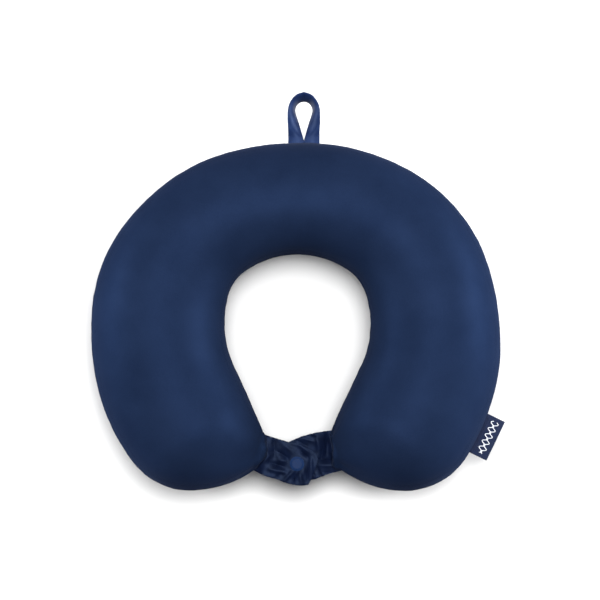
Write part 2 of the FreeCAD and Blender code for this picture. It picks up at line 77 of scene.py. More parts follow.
FOAM_END_RINGS = 4              # rings left out between the foam's ends and the rounded noses

# The facet that a tab comes out of: x, y and the angle of the tab to the X axis.
FACET = (28.3 * MM, -117.5 * MM, math.radians(14))

# The zip, low on the nape's outside, and the slot for it in the bottom panel.
ZIP_HEIGHT = 11.4 * MM
SLOT_HALF = 5.0 * MM
SLOT_TURN = math.radians(31.0)
TEETH_TURN = math.radians(30.0)
TOPSTITCH_TURN = math.radians(30.4)


# ------------------------------------------------------------------ small helpers

def smooth(x):
    """Ease from 0 at x = 0 to 1 at x = 1."""
    x = min(max(x, 0.0), 1.0)
    return x * x * (3 - 2 * x)


def bump(x, centre, width):
    """Bell curve of height 1."""
    return math.exp(-((x - centre) / width) ** 2)


def bisect(too_small, low, high):
    """Where too_small stops holding between low and high."""
    for _ in range(50):
        middle = (low + high) / 2
        if too_small(middle):
            low = middle
        else:
            high = middle
    return low


def new_mesh(name, vertices, faces, material, smooth_shading=True):
    """A piece made of one mesh in one material, linked to the scene."""
    mesh = bpy.data.meshes.new(name)
    mesh.from_pydata([tuple(v) for v in vertices], [], faces)
    mesh.validate()
    piece = bpy.data.objects.new(name, mesh)
    bpy.context.scene.collection.objects.link(piece)
    if smooth_shading:
        mesh.polygons.foreach_set("use_smooth", [True] * len(mesh.polygons))
    mesh.materials.append(material)
    return piece


def apply_modifiers(piece):
    """Replace the piece's mesh with its evaluated one and drop its modifiers."""
    evaluated = piece.evaluated_get(bpy.context.evaluated_depsgraph_get())
    mesh = bpy.data.meshes.new_from_object(evaluated)
    old = piece.data
    piece.modifiers.clear()
    piece.data = mesh
    bpy.data.meshes.remove(old)


def thicken(piece, thickness, offset=-1.0, bevel=0.0):
    """Give a skin its thickness, inwards (offset -1) or to both sides (0), with rounded edges."""
    modifier = piece.modifiers.new("thickness", "SOLIDIFY")
    modifier.thickness = thickness
    modifier.offset = offset
    if bevel:
        edge = piece.modifiers.new("edge", "BEVEL")
        edge.width = bevel
        edge.segments = 2
        edge.limit_method = "ANGLE"
    apply_modifiers(piece)


def grid_faces(rows, columns, closed=False):
    """Quads between rows of vertices; closed joins each row's end to its start."""
    faces = []
    for i in range(rows - 1):
        for j in range(columns if closed else columns - 1):
            k = (j + 1) % columns
            a = i * columns
            b = a + columns
            faces.append((a + j, a + k, b + k, b + j))
    return faces


# ------------------------------------------------------------------ materials

def new_material(name):
    """A material, its node tree and its main shader."""
    material = bpy.data.materials.new(name)
    material.use_nodes = True
    tree = material.node_tree
    return material, tree, tree.nodes["Principled BSDF"]


def add(tree, kind, **values):
    """A node, each value set on its input of that name or else as a property."""
    node = tree.nodes.new(kind)
    for key, value in values.items():
        if key in node.inputs:
            node.inputs[key].default_value = value
        else:
            setattr(node, key, value)
    return node


def ramp(tree, source, low, high, start=0.3, end=0.7):
    """Blend from colour low at the source's start value to high at its end value."""
    node = tree.nodes.new("ShaderNodeValToRGB")
    node.color_ramp.elements[0].position = start
    node.color_ramp.elements[0].color = (*low, 1)
    node.color_ramp.elements[1].position = end
    node.color_ramp.elements[1].color = (*high, 1)
    tree.links.new(source, node.inputs["Fac"])
    return node


def object_coordinates(tree, turn=(0, 0, 0)):
    """The piece's own coordinates, turned by three angles."""
    where = tree.nodes.new("ShaderNodeTexCoord")
    mapping = tree.nodes.new("ShaderNodeMapping")
    mapping.inputs["Rotation"].default_value = turn
    tree.links.new(where.outputs["Object"], mapping.inputs["Vector"])
    return mapping.outputs["Vector"]


def bumps(tree, shader, sources):
    """Chain bump nodes: (height socket, strength, distance in metres)."""
    normal = None
    for height, strength, distance in sources:
        node = add(tree, "ShaderNodeBump", Strength=strength, Distance=distance)
        tree.links.new(height, node.inputs["Height"])
        if normal:
            tree.links.new(normal, node.inputs["Normal"])
        normal = node.outputs["Normal"]
    tree.links.new(normal, shader.inputs["Normal"])


def noise_texture(tree, vector, scale, detail=2.0, roughness=0.5):
    """Clouds of noise, from 0 to 1."""
    node = add(tree, "ShaderNodeTexNoise", Scale=scale, Detail=detail, Roughness=roughness)
    tree.links.new(vector, node.inputs["Vector"])
    return node.outputs["Fac"]


def wave_texture(tree, vector, scale, direction, distortion=0.0):
    """Parallel bands, from 0 to 1."""
    node = add(tree, "ShaderNodeTexWave", Scale=scale, Distortion=distortion)
    node.wave_type = "BANDS"
    node.bands_direction = direction
    tree.links.new(vector, node.inputs["Vector"])
    return node.outputs["Fac"]


def knit_material():
    """Brushed stretch knit: fine ribs, loose fibre grain, and a soft sheen at grazing angles."""
    material, tree, shader = new_material("navy_knit")
    grain_share = 0.55
    vector = object_coordinates(tree)
    grain = noise_texture(tree, vector, 1500, 3.0, 0.7)
    rib = wave_texture(tree, object_coordinates(tree, turn=(0, 0, 0.5)), 420, "X", 1.5)
    patches = noise_texture(tree, vector, 28, 3.0)
    mixed = add(tree, "ShaderNodeMath", operation="MULTIPLY_ADD")
    mixed.inputs[1].default_value = grain_share
    tree.links.new(grain, mixed.inputs[0])
    scaled = add(tree, "ShaderNodeMath", operation="MULTIPLY")
    scaled.inputs[1].default_value = 1 - grain_share
    tree.links.new(patches, scaled.inputs[0])
    tree.links.new(scaled.outputs[0], mixed.inputs[2])
    dark, light = (0.0045, 0.0092, 0.0250), (0.0078, 0.0150, 0.0385)
    colour = ramp(tree, mixed.outputs[0], dark, light, 0.32, 0.68)
    tree.links.new(colour.outputs["Color"], shader.inputs["Base Color"])
    shader.inputs["Roughness"].default_value = 0.5
    shader.inputs["Metallic"].default_value = 0.16
    shader.inputs["Specular IOR Level"].default_value = 0.0
    shader.inputs["Specular Tint"].default_value = (0.10, 0.16, 0.35, 1)
    shader.inputs["Sheen Weight"].default_value = 0.03
    shader.inputs["Sheen Roughness"].default_value = 0.42
    shader.inputs["Sheen Tint"].default_value = (0.42, 0.50, 0.80, 1)
    bumps(tree, shader, [(rib, 0.18, 0.00012), (grain, 0.35, 0.00018)])
    return material


def satin_material(name, low, high, roughness):
    """Satin weave: long smooth floats, so a tight highlight stretched across fine lines."""
    material, tree, shader = new_material(name)
    vector = object_coordinates(tree)
    patches = noise_texture(tree, vector, 160, 2.0)
    lines = wave_texture(tree, object_coordinates(tree, turn=(0, 0, 0.8)), 900, "X", 0.4)
    colour = ramp(tree, patches, low, high, 0.25, 0.75)
    tree.links.new(colour.outputs["Color"], shader.inputs["Base Color"])
    shader.inputs["Roughness"].default_value = roughness
    shader.inputs["Specular IOR Level"].default_value = 0.14
    shader.inputs["Specular Tint"].default_value = (0.40, 0.58, 1.0, 1)
    shader.inputs["Anisotropic"].default_value = 0.4
    shader.inputs["Sheen Weight"].default_value = 0.08
    shader.inputs["Sheen Roughness"].default_value = 0.3
    shader.inputs["Sheen Tint"].default_value = (0.3, 0.42, 0.8, 1)
    bumps(tree, shader, [(patches, 0.25, 0.0004), (lines, 0.12, 0.00006)])
    return material


def woven_material(name, low, high, pitch):
    """Plain weave: two crossed sets of threads, with the pitch in metres."""
    material, tree, shader = new_material(name)
    vector = object_coordinates(tree, turn=(0, 0, math.radians(25)))
    warp = wave_texture(tree, vector, 1 / pitch, "X")
    weft = wave_texture(tree, vector, 1 / pitch, "Y")
    both = add(tree, "ShaderNodeMath", operation="MULTIPLY")
    tree.links.new(warp, both.inputs[0])
    tree.links.new(weft, both.inputs[1])
    colour = ramp(tree, both.outputs[0], low, high, 0.1, 0.8)
    tree.links.new(colour.outputs["Color"], shader.inputs["Base Color"])
    shader.inputs["Roughness"].default_value = 0.7
    shader.inputs["Specular IOR Level"].default_value = 0.12
    shader.inputs["Sheen Weight"].default_value = 0.03
    bumps(tree, shader, [(both.outputs[0], 0.5, 0.0002)])
    return material


def moulded_material(name, low, high, roughness, metallic=0.0, coat=0.0):
    """Moulded nylon or painted metal with faint scuffs."""
    material, tree, shader = new_material(name)
    vector = object_coordinates(tree)
    scuffs = noise_texture(tree, vector, 900, 4.0, 0.6)
    colour = ramp(tree, scuffs, low, high)
    tree.links.new(colour.outputs["Color"], shader.inputs["Base Color"])
    rough = ramp(tree, scuffs, (roughness * 0.8,) * 3, (roughness * 1.2,) * 3)
    tree.links.new(rough.outputs["Color"], shader.inputs["Roughness"])
    shader.inputs["Metallic"].default_value = metallic
    shader.inputs["Specular IOR Level"].default_value = 0.08
    shader.inputs["Coat Weight"].default_value = coat
    bumps(tree, shader, [(scuffs, 0.1, 0.00005)])
    return material


def foam_material():
    """Cream memory foam: fine open cells."""
    material, tree, shader = new_material("memory_foam")
    vector = object_coordinates(tree)
    cells = add(tree, "ShaderNodeTexVoronoi", Scale=1600.0)
    tree.links.new(vector, cells.inputs["Vector"])
    dark, light = (0.72, 0.66, 0.5), (0.86, 0.82, 0.68)
    colour = ramp(tree, cells.outputs["Distance"], dark, light, 0.1, 0.6)
    tree.links.new(colour.outputs["Color"], shader.inputs["Base Color"])
    shader.inputs["Roughness"].default_value = 0.9
    bumps(tree, shader, [(cells.outputs["Distance"], 0.5, 0.0003)])
    return material


KNIT = knit_material()
SATIN = satin_material(
    "navy_satin", (0.0014, 0.0028, 0.011), (0.0032, 0.0066, 0.023), 0.52)
LOOP_SATIN = satin_material(
    "loop_satin", (0.0040, 0.0095, 0.036), (0.0080, 0.0170, 0.058), 0.46)
THREAD = woven_material(
    "navy_thread", (0.004, 0.008, 0.030), (0.012, 0.024, 0.075), 0.4 * MM)
WHITE_THREAD = woven_material(
    "white_thread", (0.55, 0.57, 0.62), (0.86, 0.88, 0.92), 0.4 * MM)
LABEL = woven_material(
    "label_weave", (0.004, 0.008, 0.028), (0.010, 0.018, 0.052), 0.6 * MM)
ZIP_TAPE = woven_material(
    "zip_tape_weave", (0.004, 0.009, 0.034), (0.013, 0.026, 0.080), 0.7 * MM)
SNAP = moulded_material(
    "snap_nylon", (0.0045, 0.016, 0.058), (0.0080, 0.024, 0.080), 0.6)
COIL = moulded_material(
    "coil_nylon", (0.007, 0.016, 0.052), (0.012, 0.026, 0.078), 0.4)
PAINTED = moulded_material(
    "painted_zinc", (0.007, 0.018, 0.062), (0.012, 0.028, 0.090), 0.3, metallic=0.3, coat=0.4)
FOAM = foam_material()


# ------------------------------------------------------------------ the cover's form

def chain(start, arcs):
    """Arc chain as (centre, radius, heading, sweep), heading +X and turning clockwise."""
    found = []
    point = np.array([0.0, start])
    heading = 0.0
    for radius_mm, degrees in arcs:
        radius = radius_mm * MM
        sweep = math.radians(degrees) * math.copysign(1, radius)
        centre = point + np.array([math.sin(heading), -math.cos(heading)]) * radius
        found.append((centre, radius, heading, sweep))
        heading -= sweep
        point = centre + np.array([-math.sin(heading), math.cos(heading)]) * radius
    return found


def chain_length(arcs):
    """Length of an arc chain."""
    return sum(radius * sweep for _, radius, _, sweep in arcs)


def chain_point(arcs, distance):
    """Point of the chain at a distance along it; the slack keeps the end on the last arc."""
    slack = 1e-9
    distance = min(distance, chain_length(arcs) - slack)
    for centre, radius, heading, sweep in arcs:
        if distance <= radius * sweep:
            break
        distance -= radius * sweep
    turned = heading - distance / radius
    return centre + np.array([-math.sin(turned), math.cos(turned)]) * radius


OUTER = chain(OUTER_START, OUTER_ARCS)
INNER = chain(INNER_START, INNER_ARCS)
NAPE_CENTRE, NAPE_RADIUS, _, NAPE_ANGLE = OUTER[0]


def inner_on_ray(angle):
    """Distance along the inner edge at which a ray from the nape's centre crosses it."""
    ray = np.array([math.sin(angle), math.cos(angle)])

    def before_ray(distance):
        spoke = chain_point(INNER, distance) - NAPE_CENTRE
        return spoke[0] * ray[1] - spoke[1] * ray[0] < 0

    return bisect(before_ray, 0.0, chain_length(INNER) / 2)


def right_stations():
    """(outer point, inner point, share of the lobe, length left to the nose), right half."""
    nape_length = NAPE_RADIUS * NAPE_ANGLE
    outer_left = chain_length(OUTER) - nape_length
    inner_start = inner_on_ray(NAPE_ANGLE)
    inner_left = chain_length(INNER) - inner_start
    mean_left = (outer_left + inner_left) / 2
    found = []
    turns = {NAPE_ANGLE * i / NAPE_STEPS for i in range(NAPE_STEPS)} | {SLOT_TURN}
    for angle in sorted(turns):
        outside = chain_point(OUTER, NAPE_RADIUS * angle)
        found.append((outside, chain_point(INNER, inner_on_ray(angle)), 0.0))
    for i in range(LOBE_STEPS + 1):
        share = i / LOBE_STEPS
        outside = chain_point(OUTER, nape_length + outer_left * share)
        found.append((outside, chain_point(INNER, inner_start + inner_left * share), share))
    return [(a, b, share, mean_left * (1 - share)) for a, b, share in found]


def oval(start, corner, end, u):
    """Cubic quarter of an oval, tangent to the lines through the corner."""
    a = start + (corner - start) * FULLNESS
    b = end + (corner - end) * FULLNESS
    v = 1 - u
    return v ** 3 * start + 3 * u * v ** 2 * a + 3 * u * u * v * b + u ** 3 * end


def section(station):
    """Corners of one section: its two seam points, its crest and the ends of its flat land."""
    outside, inside, share, left = station
    width = np.linalg.norm(inside - outside)
    across = (inside - outside) / width
    ease = smooth(share * 2)
    reach = NAPE_REACH * (1 - ease) + LOBE_SHARE * width * ease
    reach = min(reach, width * NAPE_REACH / (OUTER_START - INNER_START))
    swell = math.sin(math.pi / 2 * min(left / NOSE_LENGTH, 1.0))
    top = NAPE_TOP + (LOBE_TOP - NAPE_TOP) * ease - SEAM
    top = NOSE_HALF_HEIGHT + (top - NOSE_HALF_HEIGHT) * swell
    bottom = NOSE_HALF_HEIGHT + (SEAM - NOSE_HALF_HEIGHT) * swell
    land = LAND_SHARE * width / 2

    def at(distance, height):
        return np.array([*(outside + across * distance), SEAM + height])

    seam_points = at(0, 0), at(width, 0)
    return *seam_points, at(reach, top), at(reach - land, -bottom), at(reach + land, -bottom)


def nape_outside():
    """Start, corner and end of the oval that the nape's outside follows below the seam."""
    outer, _, _, land_out, _ = section(RIGHT[0])
    return outer, np.array([outer[0], outer[1], land_out[2]]), land_out


def row_at(height):
    """Oval parameter at which the nape's outside is at a height."""
    return bisect(lambda u: oval(*nape_outside(), u)[2] > height, 0.0, 1.0)


def zip_seat():
    """Radius about the nape's axis and tilt below level of its outside, rounded as in the CAD."""
    curve, row, nudge = nape_outside(), row_at(ZIP_HEIGHT), 1e-5
    slope = oval(*curve, row + nudge) - oval(*curve, row - nudge)
    radius = (oval(*curve, row)[1] - NAPE_CENTRE[1]) / MM
    tilt = math.degrees(math.atan2(-slope[1], -slope[2]))
    return round(radius, 4) * MM, math.radians(round(tilt, 4))


def quarter_points(seam_point, tip, rows):
    """Points of the oval from a seam point to a section's crest or land."""
    corner = np.array([seam_point[0], seam_point[1], tip[2]])
    return [oval(seam_point, corner, tip, u) for u in rows]


def upper_section(station):
    """Points over the crest, from the outer seam to the inner one."""
    outer, inner, crest, _, _ = section(station)
    return quarter_points(outer, crest, ROWS) + quarter_points(inner, crest, ROWS)[-2::-1]


def lower_section(station, rows):
    """Points under the land, from the outer seam to the inner one."""
    outer, inner, _, land_out, land_in = section(station)
    land = [land_out + (land_in - land_out) * i / LAND_STEPS for i in range(1, LAND_STEPS)]
    inside = quarter_points(inner, land_in, ROWS)[::-1]
    return quarter_points(outer, land_out, rows) + land + inside


def nose_bulge(side, t):
    """How far a nose stands out of its facet, from t = -1 (inner end) to 1 (outer end)."""
    rounded = max(1 - t ** 8, 0.0) * MM
    if side > 0:
        return (0.4 + 4.2 * smooth((t + 0.7) / 1.4)) * rounded
    return (2.4 + 4.2 * bump(t, -0.03, 0.5)) * rounded


def nose_cap(ring, side):
    """Further sections that round a nose's end down to the slit that the tab comes out of."""
    narrowing = 0.04
    outer, inner = ring[0], ring[INNER_SEAM]
    middle = (outer + inner) / 2
    reach = np.linalg.norm(outer - inner) / 2
    along = (outer - middle) / reach
    into_gap = np.array([along[1], -along[0], 0.0]) * side
    sections = []
    for step in NOSE_STEPS:
        round_off = (1 - (1 - step) ** 4) ** 0.25 * (1 - 0.75 * smooth((step - 0.72) / 0.26))
        section_points = []
        for p in ring:
            offset = p - middle
            t = float(np.dot(offset, along)) / reach
            flat = offset * np.array([1 - narrowing * step, 1 - narrowing * step, 1 - step])
            section_points.append(middle + flat + into_gap * nose_bulge(side, t) * round_off)
        sections.append(section_points)
    return sections


def soften(point, normal):
    """The unevenness of a stuffed cover: slow swells, seam puckers and pulls towards its noses."""
    x, y, z = point
    swell = noise.noise(Vector(point) * 16) * 0.9 * MM
    dimples = noise.noise(Vector(point) * 42 + Vector((5, 3, 1))) * 0.25 * MM
    near_seam = math.exp(-abs(z - SEAM) / (7 * MM))
    pucker = noise.noise(Vector((x, y, 0.0)) * 150) * 0.45 * MM * near_seam
    groove = -0.9 * MM * math.exp(-((z - SEAM) / (1.3 * MM)) ** 2)
    nose_x, nose_y, _ = FACET
    from_nose = math.hypot(abs(x) - nose_x, y - nose_y)
    near_nose = math.exp(-((from_nose - 14 * MM) / (14 * MM)) ** 2)
    angle = math.atan2(z - SEAM, y - nose_y)
    pull = math.sin(angle * 7 + math.copysign(1.3, x)) * 0.55 * MM * near_nose
    on_land = z < 2 * MM
    return point + normal * (swell + dimples + pucker + groove + pull) * (0.25 if on_land else 1.0)


def lean(point):
    """The plan's asymmetry: sides left at mid-length and right at the lobes, a flatter back."""
    x, y, z = point
    outward = smooth((abs(x) - 60 * MM) / (90 * MM))
    side = -1.6 * MM * bump(y, -6 * MM, 55 * MM) + 1.5 * MM * bump(y, -137 * MM, 18 * MM)
    at_back = smooth((y - 70 * MM) / (30 * MM)) * smooth((z - 22 * MM) / (18 * MM))
    flattened = 1.4 * MM * bump(x, -8 * MM, 42 * MM) * at_back
    return np.array([x + side * outward, y - flattened, z])


RIGHT = right_stations()
ZIP_CENTRE = Vector((0, NAPE_CENTRE[1], ZIP_HEIGHT))
ZIP_RADIUS, ZIP_TILT = zip_seat()
SLOT_TOP = row_at(ZIP_HEIGHT + SLOT_HALF * math.cos(ZIP_TILT))
SLOT_FOOT = row_at(ZIP_HEIGHT - SLOT_HALF * math.cos(ZIP_TILT))
LOWER_ROWS = sorted(ROWS + [SLOT_TOP, SLOT_FOOT])


def closed_form():
    """The whole cover as rings from the left nose to the right nose, each nose closed to a slit."""
    def ring(station):
        return upper_section(station) + lower_section(station, LOWER_ROWS)[-2:0:-1]

    right = [ring(s) for s in RIGHT]
    mirror = np.array([-1.0, 1.0, 1.0])
    left = [[p * mirror for p in r] for r in right[:0:-1]]
    return nose_cap(left[0], -1)[::-1] + left + right + nose_cap(right[-1], 1)


def displaced(rings):
    """The softened, leaning surface as one closed mesh, its vertices numbered ring by ring."""
    columns = len(rings[0])
    points = np.array([p for r in rings for p in r])
    faces = grid_faces(len(rings), columns, closed=True)
    mesh = bpy.data.meshes.new("whole_cover")
    mesh.from_pydata([tuple(p) for p in points], [], faces)
    mesh.update()
    normals = np.array([list(v.normal) for v in mesh.vertices])
    if normals[int(np.argmax(points[:, 2]))][2] < 0:
        normals = -normals
    bpy.data.meshes.remove(mesh)
    moved = np.array([lean(soften(p, n)) for p, n in zip(points, normals)])
    return moved, faces, columns


def foam_form(points, columns):
    """The foam under the cover: the same sections drawn in by the inset, without the noses."""
    left_out = len(NOSE_STEPS) + FOAM_END_RINGS
    rings = points.reshape(-1, columns, 3)[left_out:-left_out]
    inner = []
    for r in rings:
        offset = r.mean(axis=0) - r
        inner.append(r + offset * (FOAM_INSET / np.linalg.norm(offset, axis=1))[:, None])
    faces = grid_faces(len(inner), columns, closed=True)
    last = (len(inner) - 1) * columns
    ends = [tuple(range(columns)), tuple(last + k for k in range(columns))]
    return np.concatenate(inner), faces + ends


def part_of(name, points, faces, material):
    """A piece of its own from some of a form's faces, with only their vertices."""
    used = sorted({i for f in faces for i in f})
    renumber = {old: new for new, old in enumerate(used)}
    piece = new_mesh(name, points[used], [[renumber[i] for i in f] for f in faces], material)
    face_outwards(piece)
    return piece


def face_outwards(piece):
    """Turn the faces alike, the one furthest from the seam's height facing away from it."""
    shape = bmesh.new()
    shape.from_mesh(piece.data)
    bmesh.ops.recalc_face_normals(shape, faces=shape.faces)
    far = max(shape.faces, key=lambda f: abs(f.calc_center_median().z - SEAM))
    if far.normal.z * (far.calc_center_median().z - SEAM) < 0:
        bmesh.ops.reverse_faces(shape, faces=shape.faces)
    shape.to_mesh(piece.data)
    shape.free()


def make_cover():
    """The two cover panels, split at the seam rows, and the foam core inside them."""
    rings = closed_form()
    points, faces, columns = displaced(rings)
    foot, top_edge = columns - LOWER_ROWS.index(SLOT_FOOT), columns - LOWER_ROWS.index(SLOT_TOP)
    slack = 1e-4

    def ring_in_slot(ring):
        x, y, _ = ring[0]
        return y > 0 and abs(math.atan2(x, y - ZIP_CENTRE.y)) <= SLOT_TURN + slack

    slotted = [ring_in_slot(ring) for ring in rings]

    def is_top(face):
        return all(i % columns <= INNER_SEAM for i in face)

    def in_slot(face):
        return all(foot <= i % columns <= top_edge and slotted[i // columns] for i in face)

    top = part_of("cover_top", points, [f for f in faces if is_top(f)], KNIT)
    below = [f for f in faces if not is_top(f) and not in_slot(f)]
    bottom = part_of("cover_bottom", points, below, KNIT)
    for panel in (top, bottom):
        thicken(panel, COVER_THICKNESS)
    foam = part_of("foam_core_pad", *foam_form(points, columns), FOAM)
    for piece, node, slot_name in ((top, "cover_top_panel", "knit"),
                                   (bottom, "cover_bottom_panel", "knit"),
                                   (foam, "foam_core", "foam")):
        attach(piece, "pillow")
        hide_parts(node)


# ------------------------------------------------------------------ satin tabs

SPLINE_STEPS = 24               # between two given points of an edge


def spline_points(points, count):
    """Evenly spaced points along a Catmull-Rom line through the given ones."""
    knots = [np.array(p, float) * MM for p in points]
    knots = [2 * knots[0] - knots[1]] + knots + [2 * knots[-1] - knots[-2]]
    dense = []
    for a, b, c, d in zip(knots, knots[1:], knots[2:], knots[3:]):
        for i in range(SPLINE_STEPS):
            t = i / SPLINE_STEPS
            dense.append(0.5 * (2 * b + (c - a) * t + (2 * a - 5 * b + 4 * c - d) * t * t
                                + (3 * b - a - 3 * c + d) * t ** 3))
    dense.append(knots[-2])
    dense = np.array(dense)
    along = np.concatenate([[0], np.cumsum(np.linalg.norm(np.diff(dense, axis=0), axis=1))])
    wanted = np.linspace(0, along[-1], count)
    return np.stack([np.interp(wanted, along, dense[:, k]) for k in range(dense.shape[1])], axis=1)


def coons(top, bottom, root, end):
    """Patch between four edges: top and bottom run from root to end, the others downwards."""
    n, m = len(top), len(root)
    u = np.linspace(0, 1, n)[:, None, None]
    v = np.linspace(0, 1, m)[None, :, None]
    ruled_v = (1 - v) * top[:, None] + v * bottom[:, None]
    ruled_u = (1 - u) * root[None] + u * end[None]
    corners = ((1 - u) * (1 - v) * top[0] + (1 - u) * v * bottom[0]
               + u * (1 - v) * top[-1] + u * v * bottom[-1])
    return ruled_v + ruled_u - corners


def from_segment(point, a, b):
    """Distance from a segment, and how far along it the nearest point is."""
    line = b - a
    share = min(max(float(np.dot(point - a, line) / np.dot(line, line)), 0.0), 1.0)
    return float(np.linalg.norm(point - a - line * share)), share


# Folds of the satin in millimetres: from x, y, to x, y, then the height and half-width.
# A negative height is a valley.
LEFT_FOLDS = [
    (-22.6, -108, -22.0, -120, 1.7, 1.5), (-17.0, -109, -16.5, -121, -1.5, 2.0),
    (-21, -121.5, -27.5, -127, 1.9, 1.9), (-20, -126, -10, -129, -1.4, 1.8),
    (-20, -131, -8, -133.5, 1.2, 1.8), (-3, -132.5, -9, -139, 1.4, 1.5),
    (1.6, -133, 3.6, -141, 1.5, 1.6), (-0.9, -132.5, -2.6, -141.5, -1.3, 1.2),
    (6.4, -130, 8.4, -139, -1.3, 1.3), (10.2, -124, 10.4, -133, 1.2, 1.6),
    (-11, -112, -4, -117.5, 1.1, 2.4), (-14, -118, -6.5, -123, -1.6, 1.7),
    (2.5, -114.2, 10.5, -119, 1.2, 1.7), (3.5, -118.5, 8.5, -122.5, -1.2, 1.4),
    (-12, -134, -16, -137.5, -1.0, 1.2), (-8.5, -125, -13, -124.2, 0.9, 1.3),
]
RIGHT_FOLDS = [
    (24.6, -105, 26.6, -121, 1.8, 1.7), (20.2, -104.5, 18.0, -122.5, -2.2, 1.7),
    (14.2, -106, 16.0, -116, 1.5, 1.9), (4, -108.5, 12, -110.5, 1.0, 1.4),
    (9, -105.8, 14, -107.5, -0.9, 0.9), (16, -124.3, 28, -124.6, -1.6, 1.3),
    (17, -128, 27, -128.5, 1.4, 1.8), (15.5, -130, 18, -136.5, -1.3, 1.2),
    (20, -133.5, 26, -133, -0.9, 1.1), (11.5, -134, 13.2, -137.5, 1.1, 1.1),
    (0, -110, 7, -114, -1.0, 1.2), (22.4, -112, 21.6, -121, 0.9, 0.9),
]
# Edges of the tabs in plan, in millimetres.
LEFT_EDGES = {
    "top": [(-27.2, -105.0), (-22.8, -106.0), (-16, -108), (-6.3, -111.0), (1.0, -112.6),
            (9.6, -116.0)],
    "bottom": [(-34.6, -130.4), (-29, -133.2), (-23.9, -135.7), (-15.1, -138.3),
               (-5.8, -141.7), (1.0, -142.8), (8.2, -142.4)],
    "root": [(-27.2, -105.0), (-29.2, -111.5), (-31.2, -118), (-33.0, -124.5),
             (-34.6, -130.4)],
    "end": [(9.6, -116.0), (13.8, -119.6), (15.4, -124.5), (13.4, -130.5), (10.9, -137.5),
            (8.2, -142.4)],
}
RIGHT_EDGES = {
    "top": [(27.6, -101.9), (24.7, -102.6), (13.9, -104.3), (3.5, -107.1), (-5.8, -111.0),
            (-11.5, -114.0)],
    "bottom": [(35.4, -131.2), (30.6, -132.6), (22.6, -135.0), (14.9, -137.8),
               (8.0, -139.4), (-1, -139.4), (-10, -136.0)],
    "root": [(27.6, -101.9), (29.6, -109), (31.8, -116.5), (33.8, -124.5), (35.4, -131.2)],
    "end": [(-11.5, -114.0), (-14.4, -121), (-13.2, -129.5), (-10, -136.0)],
}
LEFT_TAB_HEIGHT = 53.3 * MM
RIGHT_TAB_HEIGHT = 48.0 * MM
TAB_GRID = (131, 81)            # points along a tab and across it
TAB_THICKNESS = 1.4 * MM
SNAP_XY = np.array([0.0, -126.93]) * MM
SNAP_FLAT = 4.6 * MM            # radius about the snap that stays flat
UNDER_LEFT_TAB = 1.5 * MM       # highest fold of the right tab that stays clear of the left one
HEM_STEPS = 5                   # grid steps over which a hem rises
HEM_RISE = 0.25 * MM
FOLD_SHARE = 0.8                # of the heights given above


def fold_height(point, folds):
    """Summed height of the folds at a point in plan."""
    lift = 0.0
    for x0, y0, x1, y1, rise, width in folds:
        distance, share = from_segment(point, np.array([x0, y0]) * MM, np.array([x1, y1]) * MM)
        taper = 0.55 + 0.45 * math.sin(math.pi * share)
        lift += rise * MM * taper * math.exp(-abs(distance / (width * MM)) ** 1.6)
    return lift


def make_tab(side, edges, folds, height, node):
    """A folded satin tab, calm at its root and round the snap, and raised along its hems."""
    lengthways, across = TAB_GRID
    patch = coons(spline_points(edges["top"], lengthways),
                  spline_points(edges["bottom"], lengthways),
                  spline_points(edges["root"], across), spline_points(edges["end"], across))
    centre_x, centre_y, tilt = FACET
    hinge = np.array([side * centre_x, centre_y])
    away = np.array([-side * math.cos(tilt), -math.sin(tilt)])
    vertices = []
    for i in range(lengthways):
        for j in range(across):
            point = patch[i, j]
            at = Vector((point[0], point[1], side * 0.1))
            creases = (abs(noise.noise(at * 150)) - 0.22) * 0.3 * MM
            waves = noise.noise(at * 60) * 0.8 * MM
            lift = fold_height(point, folds) + (creases + waves)
            from_snap = max(np.linalg.norm(point - SNAP_XY) - SNAP_FLAT, 0)
            flat = math.exp(-(from_snap / (1.8 * MM)) ** 2)
            edge = min(j, across - 1 - j, lengthways - 1 - i) / HEM_STEPS
            hem = HEM_RISE * math.exp(-(edge - 0.5) ** 2)
            out = float(np.dot(point - hinge, away))
            base = SEAM + (height - SEAM) * smooth((out + 1 * MM) / (9 * MM))
            calm = smooth((out + 1 * MM) / (4 * MM)) * (1 - flat)
            lift = lift * FOLD_SHARE * calm
            if side > 0:
                lift = min(lift, UNDER_LEFT_TAB)
            vertices.append((point[0], point[1], base + lift + hem * calm))
    name = "tab_left_satin" if side < 0 else "tab_right_satin"
    piece = new_mesh(name, vertices, grid_faces(lengthways, across), SATIN)
    face_upwards(piece)
    thicken(piece, TAB_THICKNESS, 0.0, 0.35 * MM)
    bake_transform(piece)
    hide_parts(node)


def face_upwards(piece):
    """Turn an open sheet's faces so that most look up."""
    mesh = piece.data
    if sum(p.normal.z for p in mesh.polygons) < 0:
        mesh.flip_normals()


# ------------------------------------------------------------------ hanging loop

# The loop's middle, and one leg's outer and inner edge from the seam to the top of the eye, in
# plan and in millimetres.
LOOP_X = 5.05
LOOP_OUTER = [(-6.5, 108.2), (-6.5, 113), (-6.6, 120), (-6.8, 127), (-6.4, 134),
              (-4.6, 139.4), (-0.6, 144.2), (LOOP_X, 146.4)]
LOOP_INNER = [(LOOP_X, 108.2), (4.95, 111.4), (3.2, 117), (1.2, 123.5), (-0.7, 129),
              (-1.7, 133.4), (-0.4, 137.4), (2.3, 139.6), (LOOP_X, 140.2)]
LOOP_WIDTH = 11 * MM            # of the tape; where it looks narrower, it stands on edge
LOOP_GRID = (90, 15)            # points along a leg and across it
LOOP_THICKNESS = 1.3 * MM


